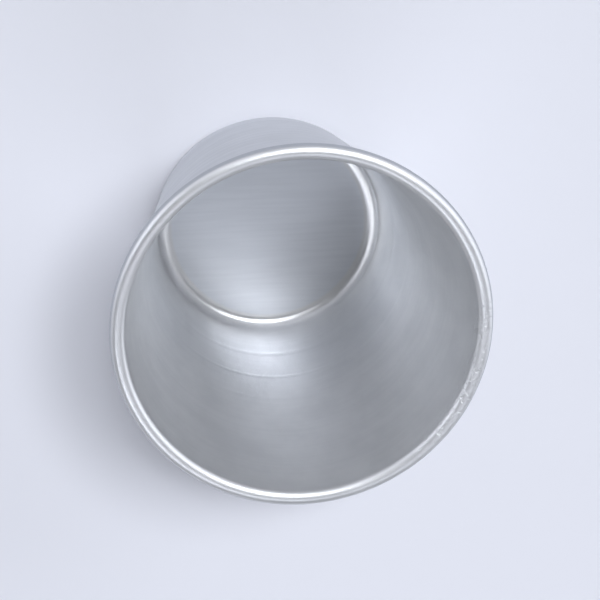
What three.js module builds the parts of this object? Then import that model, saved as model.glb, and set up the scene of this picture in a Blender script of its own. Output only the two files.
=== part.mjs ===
// Mini tart pan: a deep tapered cup, drawn from one aluminium sheet, with its rim rolled outwards over a wire.
// Millimetres, +Z up. The origin is the middle of the underside, on the table that the pan stands on.
import * as THREE from "three";

// Driving dimensions
const mouthDiameter = 70; // over the rolled rim
const baseDiameter = 45; // outside, where the slope of the wall would meet the table
const height = 60; // from the table to the top of the rim
const sheetThickness = 0.6;
const cornerRadius = 2.4; // inside, between the floor and the wall
const wireDiameter = 1.4;
const wireClearance = 0.15; // all round the wire, inside the roll
const tailGap = 0.3; // from the cut edge of the roll to the wall that it closes on

// Facets
const turnSteps = 72; // round the axis, the same for the sheet and the wire, so that their facets line up
const cornerSteps = 6;
const rollSteps = 20;
const wireSides = 12;

// The roll. Its section is an arc of sheet round the wire, and its outside makes the mouth's edge and the pan's top.
const rollInside = wireDiameter / 2 + wireClearance;
const rollOutside = rollInside + sheetThickness;
const rollCentre = new THREE.Vector2(mouthDiameter / 2 - rollOutside, height - rollOutside);

// The wall's outer face rises from the foot and runs into the inside of the roll, so it is tangent to that circle.
const foot = new THREE.Vector2(baseDiameter / 2, 0);
const footToRoll = rollCentre.clone().sub(foot);
const wallLean = Math.atan2(footToRoll.x, footToRoll.y) - Math.asin(rollInside / footToRoll.length());

// The corner. Its centre is as far from the table as from the wall's outer face.
const cornerOutside = cornerRadius + sheetThickness;
const floorRadius = foot.x - (cornerOutside * (1 - Math.sin(wallLean))) / Math.cos(wallLean);
const cornerCentre = new THREE.Vector2(floorRadius, cornerOutside);

// The roll starts where the wall meets it and turns outwards and down, until its cut edge is a gap away from the wall.
const rollStart = Math.PI - wallLean;
const tailAngle = Math.acos((rollInside - tailGap) / rollOutside);
const rollEnd = rollStart - (2 * Math.PI - tailAngle);

// Points of an arc in the half plane of radius and height, from one angle to the other.
function arc(centre, radius, from, to, steps) {
  const clockwise = to < from;
  return new THREE.EllipseCurve(centre.x, centre.y, radius, radius, from, to, clockwise).getPoints(steps);
}

// One face of the sheet, from the axis, over the corner and up the wall, to the cut edge of the roll.
function sheetFace(floorHeight, cornerFace, rollFace) {
  return [
    new THREE.Vector2(0, floorHeight),
    ...arc(cornerCentre, cornerFace, -Math.PI / 2, -wallLean, cornerSteps),
    ...arc(rollCentre, rollFace, rollStart, rollEnd, rollSteps),
  ];
}

// The sheet is turned from its two faces. The face under the floor ends inside the roll, the other one outside it.
function makeCupShell() {
  const underside = sheetFace(0, cornerOutside, rollInside);
  const fillingSide = sheetFace(sheetThickness, cornerRadius, rollOutside);
  const section = [...underside, ...fillingSide.reverse()];
  return new THREE.LatheGeometry(section, turnSteps).rotateX(Math.PI / 2);
}

// The wire is a ring that the roll closes round.
function makeRimWire() {
  return new THREE.TorusGeometry(rollCentre.x, wireDiameter / 2, wireSides, turnSteps);
}

const anodisedAluminium = new THREE.MeshStandardMaterial({ color: 0xbfc2c8, metalness: 1, roughness: 0.35 });
const galvanisedSteel = new THREE.MeshStandardMaterial({ color: 0x9a9c9f, metalness: 1, roughness: 0.5 });

const cupShell = new THREE.Mesh(makeCupShell(), anodisedAluminium);
cupShell.name = "cup_shell";

const rimWire = new THREE.Mesh(makeRimWire(), galvanisedSteel);
rimWire.name = "rim_wire";
rimWire.position.z = rollCentre.y;

const miniTartPan = new THREE.Group();
miniTartPan.add(cupShell, rimWire);

export default miniTartPan;
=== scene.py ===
# A deep aluminium baking cup with a rolled rim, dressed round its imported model. Metres, +Z up.
import math

import bpy
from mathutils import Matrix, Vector


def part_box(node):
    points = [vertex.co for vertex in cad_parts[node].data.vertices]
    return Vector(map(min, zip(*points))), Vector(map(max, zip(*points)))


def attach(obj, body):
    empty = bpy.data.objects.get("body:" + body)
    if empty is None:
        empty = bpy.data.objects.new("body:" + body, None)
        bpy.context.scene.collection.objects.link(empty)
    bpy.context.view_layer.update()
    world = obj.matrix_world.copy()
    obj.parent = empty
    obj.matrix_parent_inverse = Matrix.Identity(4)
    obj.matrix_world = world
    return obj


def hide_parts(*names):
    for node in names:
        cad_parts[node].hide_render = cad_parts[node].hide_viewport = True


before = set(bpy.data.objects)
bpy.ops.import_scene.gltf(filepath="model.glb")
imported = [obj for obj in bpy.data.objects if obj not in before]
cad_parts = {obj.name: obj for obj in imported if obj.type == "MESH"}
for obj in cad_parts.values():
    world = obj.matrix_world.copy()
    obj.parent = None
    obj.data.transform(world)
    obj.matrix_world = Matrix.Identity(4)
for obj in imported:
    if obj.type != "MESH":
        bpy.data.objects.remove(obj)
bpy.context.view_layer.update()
print("frame loaded:", len(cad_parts), "pieces")


# Drawn cup
cup = {
    "baseDiameter": 0.045,  # outside, where the slope of the wall would meet the table
    "sheet": 0.0006,
    "cornerRadius": 0.0024,  # inside, between floor and wall
    "tailGap": 0.0003,  # from the cut edge of the roll to the wall
    "cutEdgeRound": 0.00008,
    "drawMarks": [  # shallow rings that the drawing steps leave round the wall: height, depth, width
        (0.0116, 0.000045, 0.0011),
        (0.0200, 0.000045, 0.0008),
        (0.0278, 0.000025, 0.0009),
    ],
    "markShares": (-1, -0.5, 0, 0.5, 1),  # rings across a mark, in widths from its middle
    "markClear": 1.5,  # widths of a mark that even rings keep away from its middle
    "roundSegments": 192,
    "floorRings": 5,
    "cornerSteps": 12,
    "wallSteps": 12,
    "rollSteps": 36,
    "cutEdgeSteps": 2,
    "sharpAngle": 50,  # degrees
}


def measureCup():
    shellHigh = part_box("cup_shell")[1]
    wireLow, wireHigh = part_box("rim_wire")
    wireRadius = (wireHigh.z - wireLow.z) / 2
    m = {}
    m["rollRadius"] = wireHigh.x - wireRadius
    m["rollHeight"] = wireLow.z + wireRadius
    m["rollOutside"] = shellHigh.x - m["rollRadius"]
    m["rollInside"] = m["rollOutside"] - cup["sheet"]
    footRadius = cup["baseDiameter"] / 2
    outwards = m["rollRadius"] - footRadius
    reach = math.hypot(outwards, m["rollHeight"])
    m["lean"] = math.atan2(outwards, m["rollHeight"]) - math.asin(m["rollInside"] / reach)
    m["cornerHeight"] = cup["cornerRadius"] + cup["sheet"]
    m["floorRadius"] = footRadius - m["cornerHeight"] * (1 - math.sin(m["lean"])) / math.cos(m["lean"])
    tail = math.acos((m["rollInside"] - cup["tailGap"]) / m["rollOutside"])
    m["rollSweep"] = 2 * math.pi - tail
    return m


def arcPoints(centre, radius, start, sweep, steps):
    points = []
    for i in range(steps + 1):
        angle = start + sweep * i / steps
        points.append((centre[0] + radius * math.cos(angle), centre[1] + radius * math.sin(angle)))
    return points


def wallPoints(low, high, lean):
    # even rings up the slope, with close ones across each draw mark
    depths = {}
    for i in range(1, cup["wallSteps"]):
        depths[low[1] + (high[1] - low[1]) * i / cup["wallSteps"]] = 0
    for height, depth, width in cup["drawMarks"]:
        for h in [h for h in depths if abs(h - height) < cup["markClear"] * width]:
            del depths[h]
        for share in cup["markShares"]:
            depths[height + share * width] = depth if share == 0 else 0
    points = []
    for height in sorted(depths):
        depth = depths[height]
        radius = low[0] + (height - low[1]) * math.tan(lean)
        points.append((radius - depth * math.cos(lean), height + depth * math.sin(lean)))
    return points


def fillingSide(m):
    # rings on the face that the dough touches, from the floor's edge to the cut edge: radius, height
    cornerCentre = (m["floorRadius"], m["cornerHeight"])
    cornerSweep = math.pi / 2 - m["lean"]
    corner = arcPoints(cornerCentre, cup["cornerRadius"], -math.pi / 2, cornerSweep, cup["cornerSteps"])
    rollCentre = (m["rollRadius"], m["rollHeight"])
    rollStart = math.pi - m["lean"]
    roll = arcPoints(rollCentre, m["rollOutside"], rollStart, -m["rollSweep"], cup["rollSteps"])
    return corner + wallPoints(corner[-1], roll[0], m["lean"]) + roll


def pullRing(ring, nextRing):
    # the selected loop of edges is extruded along the axis and opened out or drawn in
    grow = nextRing[0] / ring[0]
    bpy.ops.mesh.extrude_edges_move(TRANSFORM_OT_translate={"value": (0, 0, nextRing[1] - ring[1])})
    bpy.ops.transform.resize(value=(grow, grow, 1), center_override=(0, 0, 0))


def addModifier(piece, name, kind, settings):
    mod = piece.modifiers.new(name, kind)
    for key, value in settings.items():
        setattr(mod, key, value)
    bpy.ops.object.modifier_apply(modifier=mod.name)


def makeCup(m):
    rings = fillingSide(m)
    floorRadius, floorHeight = rings[0]
    bpy.ops.object.select_all(action="DESELECT")
    bpy.ops.mesh.primitive_circle_add(
        vertices=cup["roundSegments"],
        radius=floorRadius,
        fill_type="NGON",
        location=(0, 0, floorHeight),
    )
    piece = bpy.context.object
    piece.name = "drawn_cup"
    bpy.ops.object.transform_apply(location=True)

    bpy.ops.object.mode_set(mode="EDIT")
    for _ in range(cup["floorRings"]):
        bpy.ops.mesh.inset(thickness=floorRadius / (cup["floorRings"] + 1))
    bpy.ops.mesh.poke()
    bpy.ops.mesh.select_mode(type="EDGE")
    bpy.ops.mesh.select_all(action="DESELECT")
    bpy.ops.mesh.select_non_manifold(
        extend=False,
        use_wire=False,
        use_boundary=True,
        use_multi_face=False,
        use_non_contiguous=False,
        use_verts=False,
    )
    for ring, nextRing in zip(rings, rings[1:]):
        pullRing(ring, nextRing)
    bpy.ops.object.mode_set(mode="OBJECT")

    addModifier(piece, "sheet", "SOLIDIFY", {
        "thickness": cup["sheet"],
        "offset": -1,
        "use_even_offset": True,
        "use_quality_normals": True,
    })
    addModifier(piece, "cut edge", "BEVEL", {
        "width": cup["cutEdgeRound"],
        "segments": cup["cutEdgeSteps"],
        "limit_method": "ANGLE",
        "angle_limit": math.radians(cup["sharpAngle"]),
    })
    bpy.ops.object.shade_smooth_by_angle(angle=math.radians(cup["sharpAngle"]))
    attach(piece, "root")
    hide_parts("cup_shell")
    return piece


cupSizes = measureCup()
drawnCup = makeCup(cupSizes)
print("cup made:", len(drawnCup.data.polygons), "faces")


# Node helpers
def addNode(tree, kind, inputs, **settings):
    node = tree.nodes.new(kind)
    for key, value in settings.items():
        setattr(node, key, value)
    for key, value in inputs.items():
        if isinstance(value, bpy.types.NodeSocket):
            tree.links.new(value, node.inputs[key])
        else:
            node.inputs[key].default_value = value
    return node


def addMath(tree, operation, *values):
    node = addNode(tree, "ShaderNodeMath", dict(enumerate(values)), operation=operation)
    return node.outputs["Value"]


def addRange(tree, value, low, high, toLow, toHigh):
    # a soft step: toLow below low, toHigh above high
    return addNode(tree, "ShaderNodeMapRange", {
        "Value": value,
        "From Min": low,
        "From Max": high,
        "To Min": toLow,
        "To Max": toHigh,
    }, interpolation_type="SMOOTHSTEP").outputs["Result"]


def addScaled(tree, vector, scale):
    return addNode(tree, "ShaderNodeMapping", {"Vector": vector, "Scale": scale}).outputs["Vector"]


def addNoise(tree, vector, scale, detail):
    return addNode(tree, "ShaderNodeTexNoise", {
        "Vector": vector,
        "Scale": scale,
        "Detail": detail,
        "Roughness": noise["roughness"],
    }).outputs["Fac"]


def addTint(tree, factor, low, high):
    mix = addNode(tree, "ShaderNodeMix", {0: factor, 6: low, 7: high}, data_type="RGBA")
    return mix.outputs[2]


# Grain of worked metal, shared by the sheet and the wire
noise = {
    "roughness": 0.55,  # weight of each finer layer of noise
    "streakDetail": 1,
    "cloudDetail": 4,
    "speckleDetail": 2,
}


def makeGrain():
    group = bpy.data.node_groups.new("metalGrain", "ShaderNodeTree")
    group.interface.new_socket("Vector", in_out="INPUT", socket_type="NodeSocketVector")
    for name in ("Streak Length", "Streak Width", "Cloud Size"):
        group.interface.new_socket(name, in_out="INPUT", socket_type="NodeSocketFloat")
    for name in ("Streaks", "Clouds", "Speckle"):
        group.interface.new_socket(name, in_out="OUTPUT", socket_type="NodeSocketFloat")
    start = group.nodes.new("NodeGroupInput").outputs
    end = group.nodes.new("NodeGroupOutput").inputs
    along = addMath(group, "DIVIDE", 1, start["Streak Length"])
    across = addMath(group, "DIVIDE", 1, start["Streak Width"])
    stretch = addNode(group, "ShaderNodeCombineXYZ", {"X": along, "Y": along, "Z": across})
    stretched = addScaled(group, start["Vector"], stretch.outputs["Vector"])
    streaks = addNoise(group, stretched, 1, noise["streakDetail"])
    cloudScale = addMath(group, "DIVIDE", 1, start["Cloud Size"])
    clouds = addNoise(group, start["Vector"], cloudScale, noise["cloudDetail"])
    speckle = addNoise(group, start["Vector"], across, noise["speckleDetail"])
    group.links.new(streaks, end["Streaks"])
    group.links.new(clouds, end["Clouds"])
    group.links.new(speckle, end["Speckle"])
    return group


metalGrain = makeGrain()


# Satin anodised aluminium of the cup
satin = {
    "lightColour": (0.835, 0.836, 0.838, 1),
    "darkColour": (0.775, 0.778, 0.782, 1),
    "floorPaintedCoolLight": (0.802, 0.826, 0.866, 1),  # cooler than the wall: a painted tint for the bluish light that the floor reflects
    "floorPaintedCoolDark": (0.776, 0.800, 0.840, 1),
    "outsidePaintedShadeLight": (0.725, 0.737, 0.755, 1),  # darker than the inside: painted shade for the darker surroundings that the outer wall reflects
    "outsidePaintedShadeDark": (0.675, 0.687, 0.705, 1),
    "outsideRoughness": 0.46,
    "metallic": 0.95,
    "edgeTint": (0.84, 0.847, 0.855, 1),  # aluminium dips a little before a grazing view
    "floorRoughness": 0.29,
    "wallRoughness": 0.48,
    "drawnRoughness": 0.34,  # low on the wall, where the sheet was drawn least
    "drawnHeights": (0.012, 0.030),
    "cornerRoughness": 0.29,
    "rimRoughness": 0.42,
    "rimSidePaintedShade": (0.53, 0.545, 0.57, 1),  # painted shade: the outermost side of the roll is darkened for the dark reflection along the rim's outer edge
    "rimPaintedShadeShares": (0.70, 0.92),  # of the roll's radius, out from its middle
    "toneSpread": 0.03,  # change of roughness from dark to light places
    "lineSpread": 0.05,  # change of roughness along the draw lines
    "outsideLineSpread": 0.16,
    "wallStreak": (0.03, 0.0009),  # length and width of the draw lines
    "floorStreak": (0.016, 0.0009),  # length and width of the rolling grain
    "cloudSize": 0.008,
    "lineDepth": 0.0000004,
    "speckleDepth": 0.0000005,
    "nickDepth": 0.00005,
    "nickSize": 0.0007,
    "nickMiddle": (-0.93, 0.36, 0),  # side of the rim that has had knocks
    "nickReach": 0.82,  # cosine of the half angle
    "nickFade": 0.1,  # of that cosine
    "nickSpots": (0.52, 0.64),  # levels of the noise between which a knock begins
    "nickDetail": 2,
    "nickRoughness": 0.1,  # added where a knock is
    "floorTops": (0.3, 0.7),  # of the corner's height, where the floor's finish ends
    "floorFade": 0.0008,  # inside the floor's edge
    "cornerTops": (0.75, 1.3),  # of the corner's height, where its finish ends
    "cornerFade": (-0.0003, 0.0004),  # from the floor's edge
    "wallStarts": (1, 2),  # of the corner's height
    "outsideFade": 0.0001,  # on each side of the middle of the sheet
    "rollFade": 0.0002,  # below the roll, where the outside's finish ends
    "rimFade": (-0.0004, 0.0008),  # from the foot of the roll
    "grainTurn": 0.08,  # radians, of the rolling grain
    "lineShare": 0.2,  # of the tone
    "cloudShare": 0.8,
    "toneLevels": (0.3, 0.7),  # tone from dark to light
    "floorLevels": (0.35, 0.65),
    "outsideLevels": (0.7, 1.3),
    "tonePivot": 0.5,  # tone that leaves the roughness as it is
}


def makeSatin(m):
    material = bpy.data.materials.new("satin_anodised_aluminium")
    material.use_nodes = True
    tree = material.node_tree
    shader = tree.nodes["Principled BSDF"]
    place = addNode(tree, "ShaderNodeTexCoord", {}).outputs["Object"]
    axes = addNode(tree, "ShaderNodeSeparateXYZ", {"Vector": place}).outputs
    flat = addNode(tree, "ShaderNodeCombineXYZ", {"X": axes["X"], "Y": axes["Y"]}).outputs["Vector"]
    radius = addNode(tree, "ShaderNodeVectorMath", {0: flat}, operation="LENGTH").outputs["Value"]
    height = axes["Z"]

    # where on the cup a point is
    edge, corner = m["floorRadius"], m["cornerHeight"]
    low = addRange(tree, height, *[share * corner for share in satin["floorTops"]], 1, 0)
    withinEdge = addRange(tree, radius, edge - satin["floorFade"], edge, 1, 0)
    onFloor = addMath(tree, "MULTIPLY", low, withinEdge)
    belowWall = addRange(tree, height, *[share * corner for share in satin["cornerTops"]], 1, 0)
    beyondEdge = addRange(tree, radius, *[edge + away for away in satin["cornerFade"]], 0, 1)
    inCorner = addMath(tree, "MULTIPLY", belowWall, beyondEdge)
    onWall = addRange(tree, height, *[share * corner for share in satin["wallStarts"]], 0, 1)
    rollFoot = m["rollHeight"] - m["rollOutside"]

    # how far a point is from the middle of the corner's bend, carried up the slope of the wall
    above = addMath(tree, "SUBTRACT", height, corner)
    spread = addMath(tree, "MULTIPLY", addMath(tree, "MAXIMUM", above, 0), math.tan(m["lean"]))
    aside = addMath(tree, "SUBTRACT", addMath(tree, "SUBTRACT", radius, spread), edge)
    aside = addMath(tree, "MAXIMUM", aside, 0)
    below = addMath(tree, "MINIMUM", above, 0)
    squares = [addMath(tree, "POWER", part, 2) for part in (aside, below)]
    reach = addMath(tree, "SQRT", addMath(tree, "ADD", *squares))
    middle = cup["cornerRadius"] + cup["sheet"] / 2
    fade = satin["outsideFade"]
    outside = addRange(tree, reach, middle - fade, middle + fade, 0, 1)
    belowRoll = addRange(tree, height, rollFoot - satin["rollFade"], rollFoot, 1, 0)
    outside = addMath(tree, "MULTIPLY", outside, belowRoll)

    onRim = addRange(tree, height, *[rollFoot + away for away in satin["rimFade"]], 0, 1)
    # band on the roll's outer side that takes the painted shade
    paintedShadeBand = [m["rollRadius"] + share * m["rollOutside"] for share in satin["rimPaintedShadeShares"]]
    onPaintedShadeBand = addMath(tree, "MULTIPLY", addRange(tree, radius, *paintedShadeBand, 0, 1), onRim)

    # draw lines round the wall, rolling grain along the floor
    wallGrain = addNode(tree, "ShaderNodeGroup", {}, node_tree=metalGrain)
    floorGrain = addNode(tree, "ShaderNodeGroup", {}, node_tree=metalGrain)
    tree.links.new(place, wallGrain.inputs["Vector"])
    turn = (math.pi / 2, 0, satin["grainTurn"])
    turned = addNode(tree, "ShaderNodeMapping", {"Vector": place, "Rotation": turn})
    tree.links.new(turned.outputs["Vector"], floorGrain.inputs["Vector"])
    for grain, streak in ((wallGrain, satin["wallStreak"]), (floorGrain, satin["floorStreak"])):
        grain.inputs["Streak Length"].default_value = streak[0]
        grain.inputs["Streak Width"].default_value = streak[1]
        grain.inputs["Cloud Size"].default_value = satin["cloudSize"]
    wallLines, floorLines = wallGrain.outputs["Streaks"], floorGrain.outputs["Streaks"]
    lines = addNode(tree, "ShaderNodeMix", {0: onFloor, 2: wallLines, 3: floorLines}).outputs[0]
    clouds, speckle = wallGrain.outputs["Clouds"], wallGrain.outputs["Speckle"]

    # knocks along one side of the rim
    outwards = addNode(tree, "ShaderNodeVectorMath", {0: flat}, operation="NORMALIZE").outputs["Vector"]
    worn = Vector(satin["nickMiddle"]).normalized()
    side = addNode(tree, "ShaderNodeVectorMath", {0: outwards, 1: worn}, operation="DOT_PRODUCT")
    reachEnd = satin["nickReach"] + satin["nickFade"]
    knocked = addRange(tree, side.outputs["Value"], satin["nickReach"], reachEnd, 0, 1)
    spots = addNoise(tree, place, 1 / satin["nickSize"], satin["nickDetail"])
    nicks = addMath(tree, "MULTIPLY", addRange(tree, spots, *satin["nickSpots"], 0, 1), knocked)
    nicks = addMath(tree, "MULTIPLY", nicks, onRim)

    # colour of each part of the cup
    cloudTone = addMath(tree, "MULTIPLY", clouds, satin["cloudShare"])
    tone = addMath(tree, "MULTIPLY_ADD", lines, satin["lineShare"], cloudTone)
    toned = addRange(tree, tone, *satin["toneLevels"], 0, 1)
    colour = addTint(tree, toned, satin["darkColour"], satin["lightColour"])
    # the floor takes a cooler colour, a painted tint for the bluish light it reflects, over its random
    # grain
    grained = addRange(tree, floorLines, *satin["floorLevels"], 0, 1)
    paintedCoolFloorColour = addTint(tree, grained, satin["floorPaintedCoolDark"], satin["floorPaintedCoolLight"])
    colour = addTint(tree, onFloor, colour, paintedCoolFloorColour)
    linesAndClouds = addMath(tree, "ADD", wallLines, clouds)
    # the outer face gets a darker colour, painted shade for the darker surroundings it reflects, with
    # random grain across it
    drawn = addRange(tree, linesAndClouds, *satin["outsideLevels"], 0, 1)
    paintedShadeOutsideColour = addTint(tree, drawn, satin["outsidePaintedShadeDark"], satin["outsidePaintedShadeLight"])
    colour = addTint(tree, outside, colour, paintedShadeOutsideColour)
    # painted shade: darkens the roll's outermost side for the dark reflection along the rim's outer
    # edge
    colour = addTint(tree, onPaintedShadeBand, colour, satin["rimSidePaintedShade"])

    # roughness of each part, then its change from place to place
    drawnRough, wallRough = satin["drawnRoughness"], satin["wallRoughness"]
    rough = addRange(tree, height, *satin["drawnHeights"], drawnRough, wallRough)
    rough = addRange(tree, onFloor, 0, 1, rough, satin["floorRoughness"])
    rough = addRange(tree, inCorner, 0, 1, rough, satin["cornerRoughness"])
    rough = addRange(tree, outside, 0, 1, rough, satin["outsideRoughness"])
    rough = addRange(tree, onRim, 0, 1, rough, satin["rimRoughness"])
    offTone = addMath(tree, "SUBTRACT", satin["tonePivot"], tone)
    rough = addMath(tree, "MULTIPLY_ADD", offTone, satin["toneSpread"], rough)
    offLine = addMath(tree, "SUBTRACT", satin["tonePivot"], wallLines)
    offLine = addMath(tree, "MULTIPLY", offLine, onWall)
    lineSpread = addRange(tree, outside, 0, 1, satin["lineSpread"], satin["outsideLineSpread"])
    rough = addMath(tree, "MULTIPLY_ADD", offLine, lineSpread, rough)
    rough = addMath(tree, "MULTIPLY_ADD", nicks, satin["nickRoughness"], rough)

    relief = addMath(tree, "MULTIPLY", wallLines, satin["lineDepth"])
    relief = addMath(tree, "MULTIPLY_ADD", speckle, satin["speckleDepth"], relief)
    relief = addMath(tree, "MULTIPLY", relief, onWall)
    relief = addMath(tree, "MULTIPLY_ADD", nicks, -satin["nickDepth"], relief)
    bump = addNode(tree, "ShaderNodeBump", {"Height": relief, "Distance": 1})
    tree.links.new(colour, shader.inputs["Base Color"])
    tree.links.new(rough, shader.inputs["Roughness"])
    tree.links.new(bump.outputs["Normal"], shader.inputs["Normal"])
    shader.inputs["Metallic"].default_value = satin["metallic"]
    shader.inputs["Specular Tint"].default_value = satin["edgeTint"]
    return material


drawnCup.data.materials.append(makeSatin(cupSizes))
print("cup finished")


# Zinc-coated wire inside the rim
zinc = {
    "lightColour": (0.62, 0.63, 0.64, 1),
    "darkColour": (0.42, 0.43, 0.45, 1),
    "metallic": 0.9,
    "cloudLevels": (0.35, 0.65),  # clouds from dark and smooth to light and rough
    "roughness": (0.38, 0.56),
    "streak": (0.004, 0.0002),
    "cloudSize": 0.0015,
    "depth": 0.000004,
}


def makeZinc():
    material = bpy.data.materials.new("zinc_wire")
    material.use_nodes = True
    tree = material.node_tree
    shader = tree.nodes["Principled BSDF"]
    place = addNode(tree, "ShaderNodeTexCoord", {}).outputs["Object"]
    grain = addNode(tree, "ShaderNodeGroup", {}, node_tree=metalGrain)
    tree.links.new(place, grain.inputs["Vector"])
    grain.inputs["Streak Length"].default_value = zinc["streak"][0]
    grain.inputs["Streak Width"].default_value = zinc["streak"][1]
    grain.inputs["Cloud Size"].default_value = zinc["cloudSize"]
    clouds = grain.outputs["Clouds"]
    toned = addRange(tree, clouds, *zinc["cloudLevels"], 0, 1)
    colour = addTint(tree, toned, zinc["darkColour"], zinc["lightColour"])
    rough = addRange(tree, clouds, *zinc["cloudLevels"], *zinc["roughness"])
    relief = addMath(tree, "MULTIPLY", grain.outputs["Streaks"], zinc["depth"])
    bump = addNode(tree, "ShaderNodeBump", {"Height": relief, "Distance": 1})
    tree.links.new(colour, shader.inputs["Base Color"])
    tree.links.new(rough, shader.inputs["Roughness"])
    tree.links.new(bump.outputs["Normal"], shader.inputs["Normal"])
    shader.inputs["Metallic"].default_value = zinc["metallic"]
    return material


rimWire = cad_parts["rim_wire"]
rimWire.data.materials.clear()
rimWire.data.materials.append(makeZinc())
print("wire finished")


# Table
table = {
    "size": 6,
    "drop": 0.00002,  # keeps the table clear of the underside
    "colour": (0.80, 0.807, 0.857, 1),
    "roughness": 0.8,
    "specular": 0.1,
    "shown": (0.895, 0.915, 1.0, 1),  # an even glow, mixed in where the lens or the metal sees it
    "shownShare": 0.12,
}


def makeTable():
    bpy.ops.object.select_all(action="DESELECT")
    bpy.ops.mesh.primitive_plane_add(size=table["size"], location=(0, 0, -table["drop"]))
    piece = bpy.context.object
    piece.name = "table"
    bpy.ops.object.transform_apply(location=True)
    material = bpy.data.materials.new("pale_table")
    material.use_nodes = True
    tree = material.node_tree
    shader = tree.nodes["Principled BSDF"]
    shader.inputs["Base Color"].default_value = table["colour"]
    shader.inputs["Roughness"].default_value = table["roughness"]
    shader.inputs["Specular IOR Level"].default_value = table["specular"]
    rays = addNode(tree, "ShaderNodeLightPath", {}).outputs
    seen = addMath(tree, "MAXIMUM", rays["Is Camera Ray"], rays["Is Glossy Ray"])
    seen = addMath(tree, "MAXIMUM", seen, rays["Is Transmission Ray"])
    share = addMath(tree, "MULTIPLY", seen, table["shownShare"])
    glow = addNode(tree, "ShaderNodeEmission", {"Color": table["shown"], "Strength": 1})
    mix = addNode(tree, "ShaderNodeMixShader", {0: share, 1: shader.outputs[0], 2: glow.outputs[0]})
    tree.links.new(mix.outputs[0], tree.nodes["Material Output"].inputs["Surface"])
    piece.data.materials.append(material)


makeTable()
print("table laid")


# Light
lightAim = Vector((0, 0, 0.055))
daylight = (0.92, 0.945, 1)
paleWall = (0.87, 0.905, 1)
lamps = [  # name, azimuth, elevation, distance, width, height, radiance, colour, what it lights
    ("key", -25, 47.5, 0.7, 0.50, 0.50, 3.71, daylight, "metal"),
    ("keyHigh", -18, 62, 0.7, 0.20, 0.20, 3.6, daylight, "metal"),
    ("top", -8, 75, 0.7, 0.27, 0.27, 1.38, daylight, "metal"),
    ("backLeft", 138, 50, 0.7, 0.22, 0.22, 3.26, paleWall, "metal"),
    ("back", 168, 50, 0.7, 0.42, 0.22, 1.75, paleWall, "metal"),
    ("backHigh", 172, 62, 0.7, 0.22, 0.22, 1.4, paleWall, "metal"),
    ("side", -145, 49, 0.7, 0.22, 0.46, 1.33, paleWall, "metal"),
    ("right", -86, 12, 0.7, 1.20, 0.30, 1.16, paleWall, "metal"),
    ("rightHigh", -76, 35, 0.7, 0.66, 0.30, 1.44, paleWall, "metal"),
    ("left", 74, 12, 0.7, 1.20, 0.30, 0.74, paleWall, "metal"),
    ("leftMid", 68, 33, 0.7, 0.30, 0.20, 3.4, paleWall, "metal"),
    ("leftHigh", 25, 32, 0.7, 0.30, 0.30, 1.55, paleWall, "metal"),
    ("shade", 5, 65.5, 2.0, 0.21, 0.21, 75, daylight, "table"),
    ("shadeWide", -19, 64.5, 2.0, 0.50, 0.50, 30.3, daylight, "table"),
    ("shadeLow", -50, 35, 2.0, 0.85, 0.85, 2.5, daylight, "table"),
    ("fill", -170, 42, 0.5, 0.30, 0.30, 3.1, paleWall, "table"),
]
sky = {
    "colour": (0.88, 0.915, 1, 1),
    "horizon": 0.41,
    "zenith": 0.10,
    "zenithFrom": 0.9,  # sine of the height above the horizon
}


def addLamp(name, azimuth, elevation, away, wide, tall, radiance, colour, lights):
    # azimuth 0 is on the -Y side, and the angle grows towards +X
    turn, rise = math.radians(azimuth), math.radians(elevation)
    level = math.cos(rise)
    towards = Vector((math.sin(turn) * level, -math.cos(turn) * level, math.sin(rise)))
    data = bpy.data.lights.new(name, "AREA")
    data.shape = "ELLIPSE"
    data.size = wide
    data.size_y = tall
    data.color = colour
    data.energy = radiance * math.pi * math.pi * wide * tall / 4
    lamp = bpy.data.objects.new(name, data)
    bpy.context.scene.collection.objects.link(lamp)
    lamp.location = lightAim + towards * away
    lamp.rotation_euler = (-towards).to_track_quat("-Z", "Y").to_euler()
    lamp.visible_camera = False
    lamp.visible_diffuse = lights == "table"
    lamp.visible_glossy = lights == "metal"


def makeSky():
    # paler round the horizon, darker overhead
    world = bpy.data.worlds.new("studio")
    world.use_nodes = True
    tree = world.node_tree
    direction = addNode(tree, "ShaderNodeTexCoord", {}).outputs["Generated"]
    rise = addNode(tree, "ShaderNodeSeparateXYZ", {"Vector": direction}).outputs["Z"]
    level = addRange(tree, rise, 0, sky["zenithFrom"], sky["horizon"], sky["zenith"])
    tree.nodes["Background"].inputs["Color"].default_value = sky["colour"]
    tree.links.new(level, tree.nodes["Background"].inputs["Strength"])
    bpy.context.scene.world = world


for lamp in lamps:
    addLamp(*lamp)
makeSky()
print("lamps set:", len(lamps))


# Camera
shot = {
    "place": (0.0526, -0.1721, 0.4935),
    "aim": (0.00028, -0.00484, 0.05688),
    "roll": 161.3,  # degrees, the cup is seen with its base above its mouth
    "fieldOfView": 13.16,  # degrees, over the square picture
    "clipStart": 0.01,
}


def addCamera():
    data = bpy.data.cameras.new("shot")
    data.sensor_fit = "HORIZONTAL"
    data.angle = math.radians(shot["fieldOfView"])
    data.clip_start = shot["clipStart"]
    camera = bpy.data.objects.new("shot", data)
    bpy.context.scene.collection.objects.link(camera)
    camera.location = shot["place"]
    view = (Vector(shot["aim"]) - camera.location).to_track_quat("-Z", "Y").to_matrix().to_4x4()
    camera.rotation_euler = view.to_euler()
    camera.rotation_euler.rotate_axis("Z", math.radians(shot["roll"]))
    return camera


bpy.context.scene.camera = addCamera()
bpy.context.scene.view_settings.view_transform = "Standard"
print("camera placed")
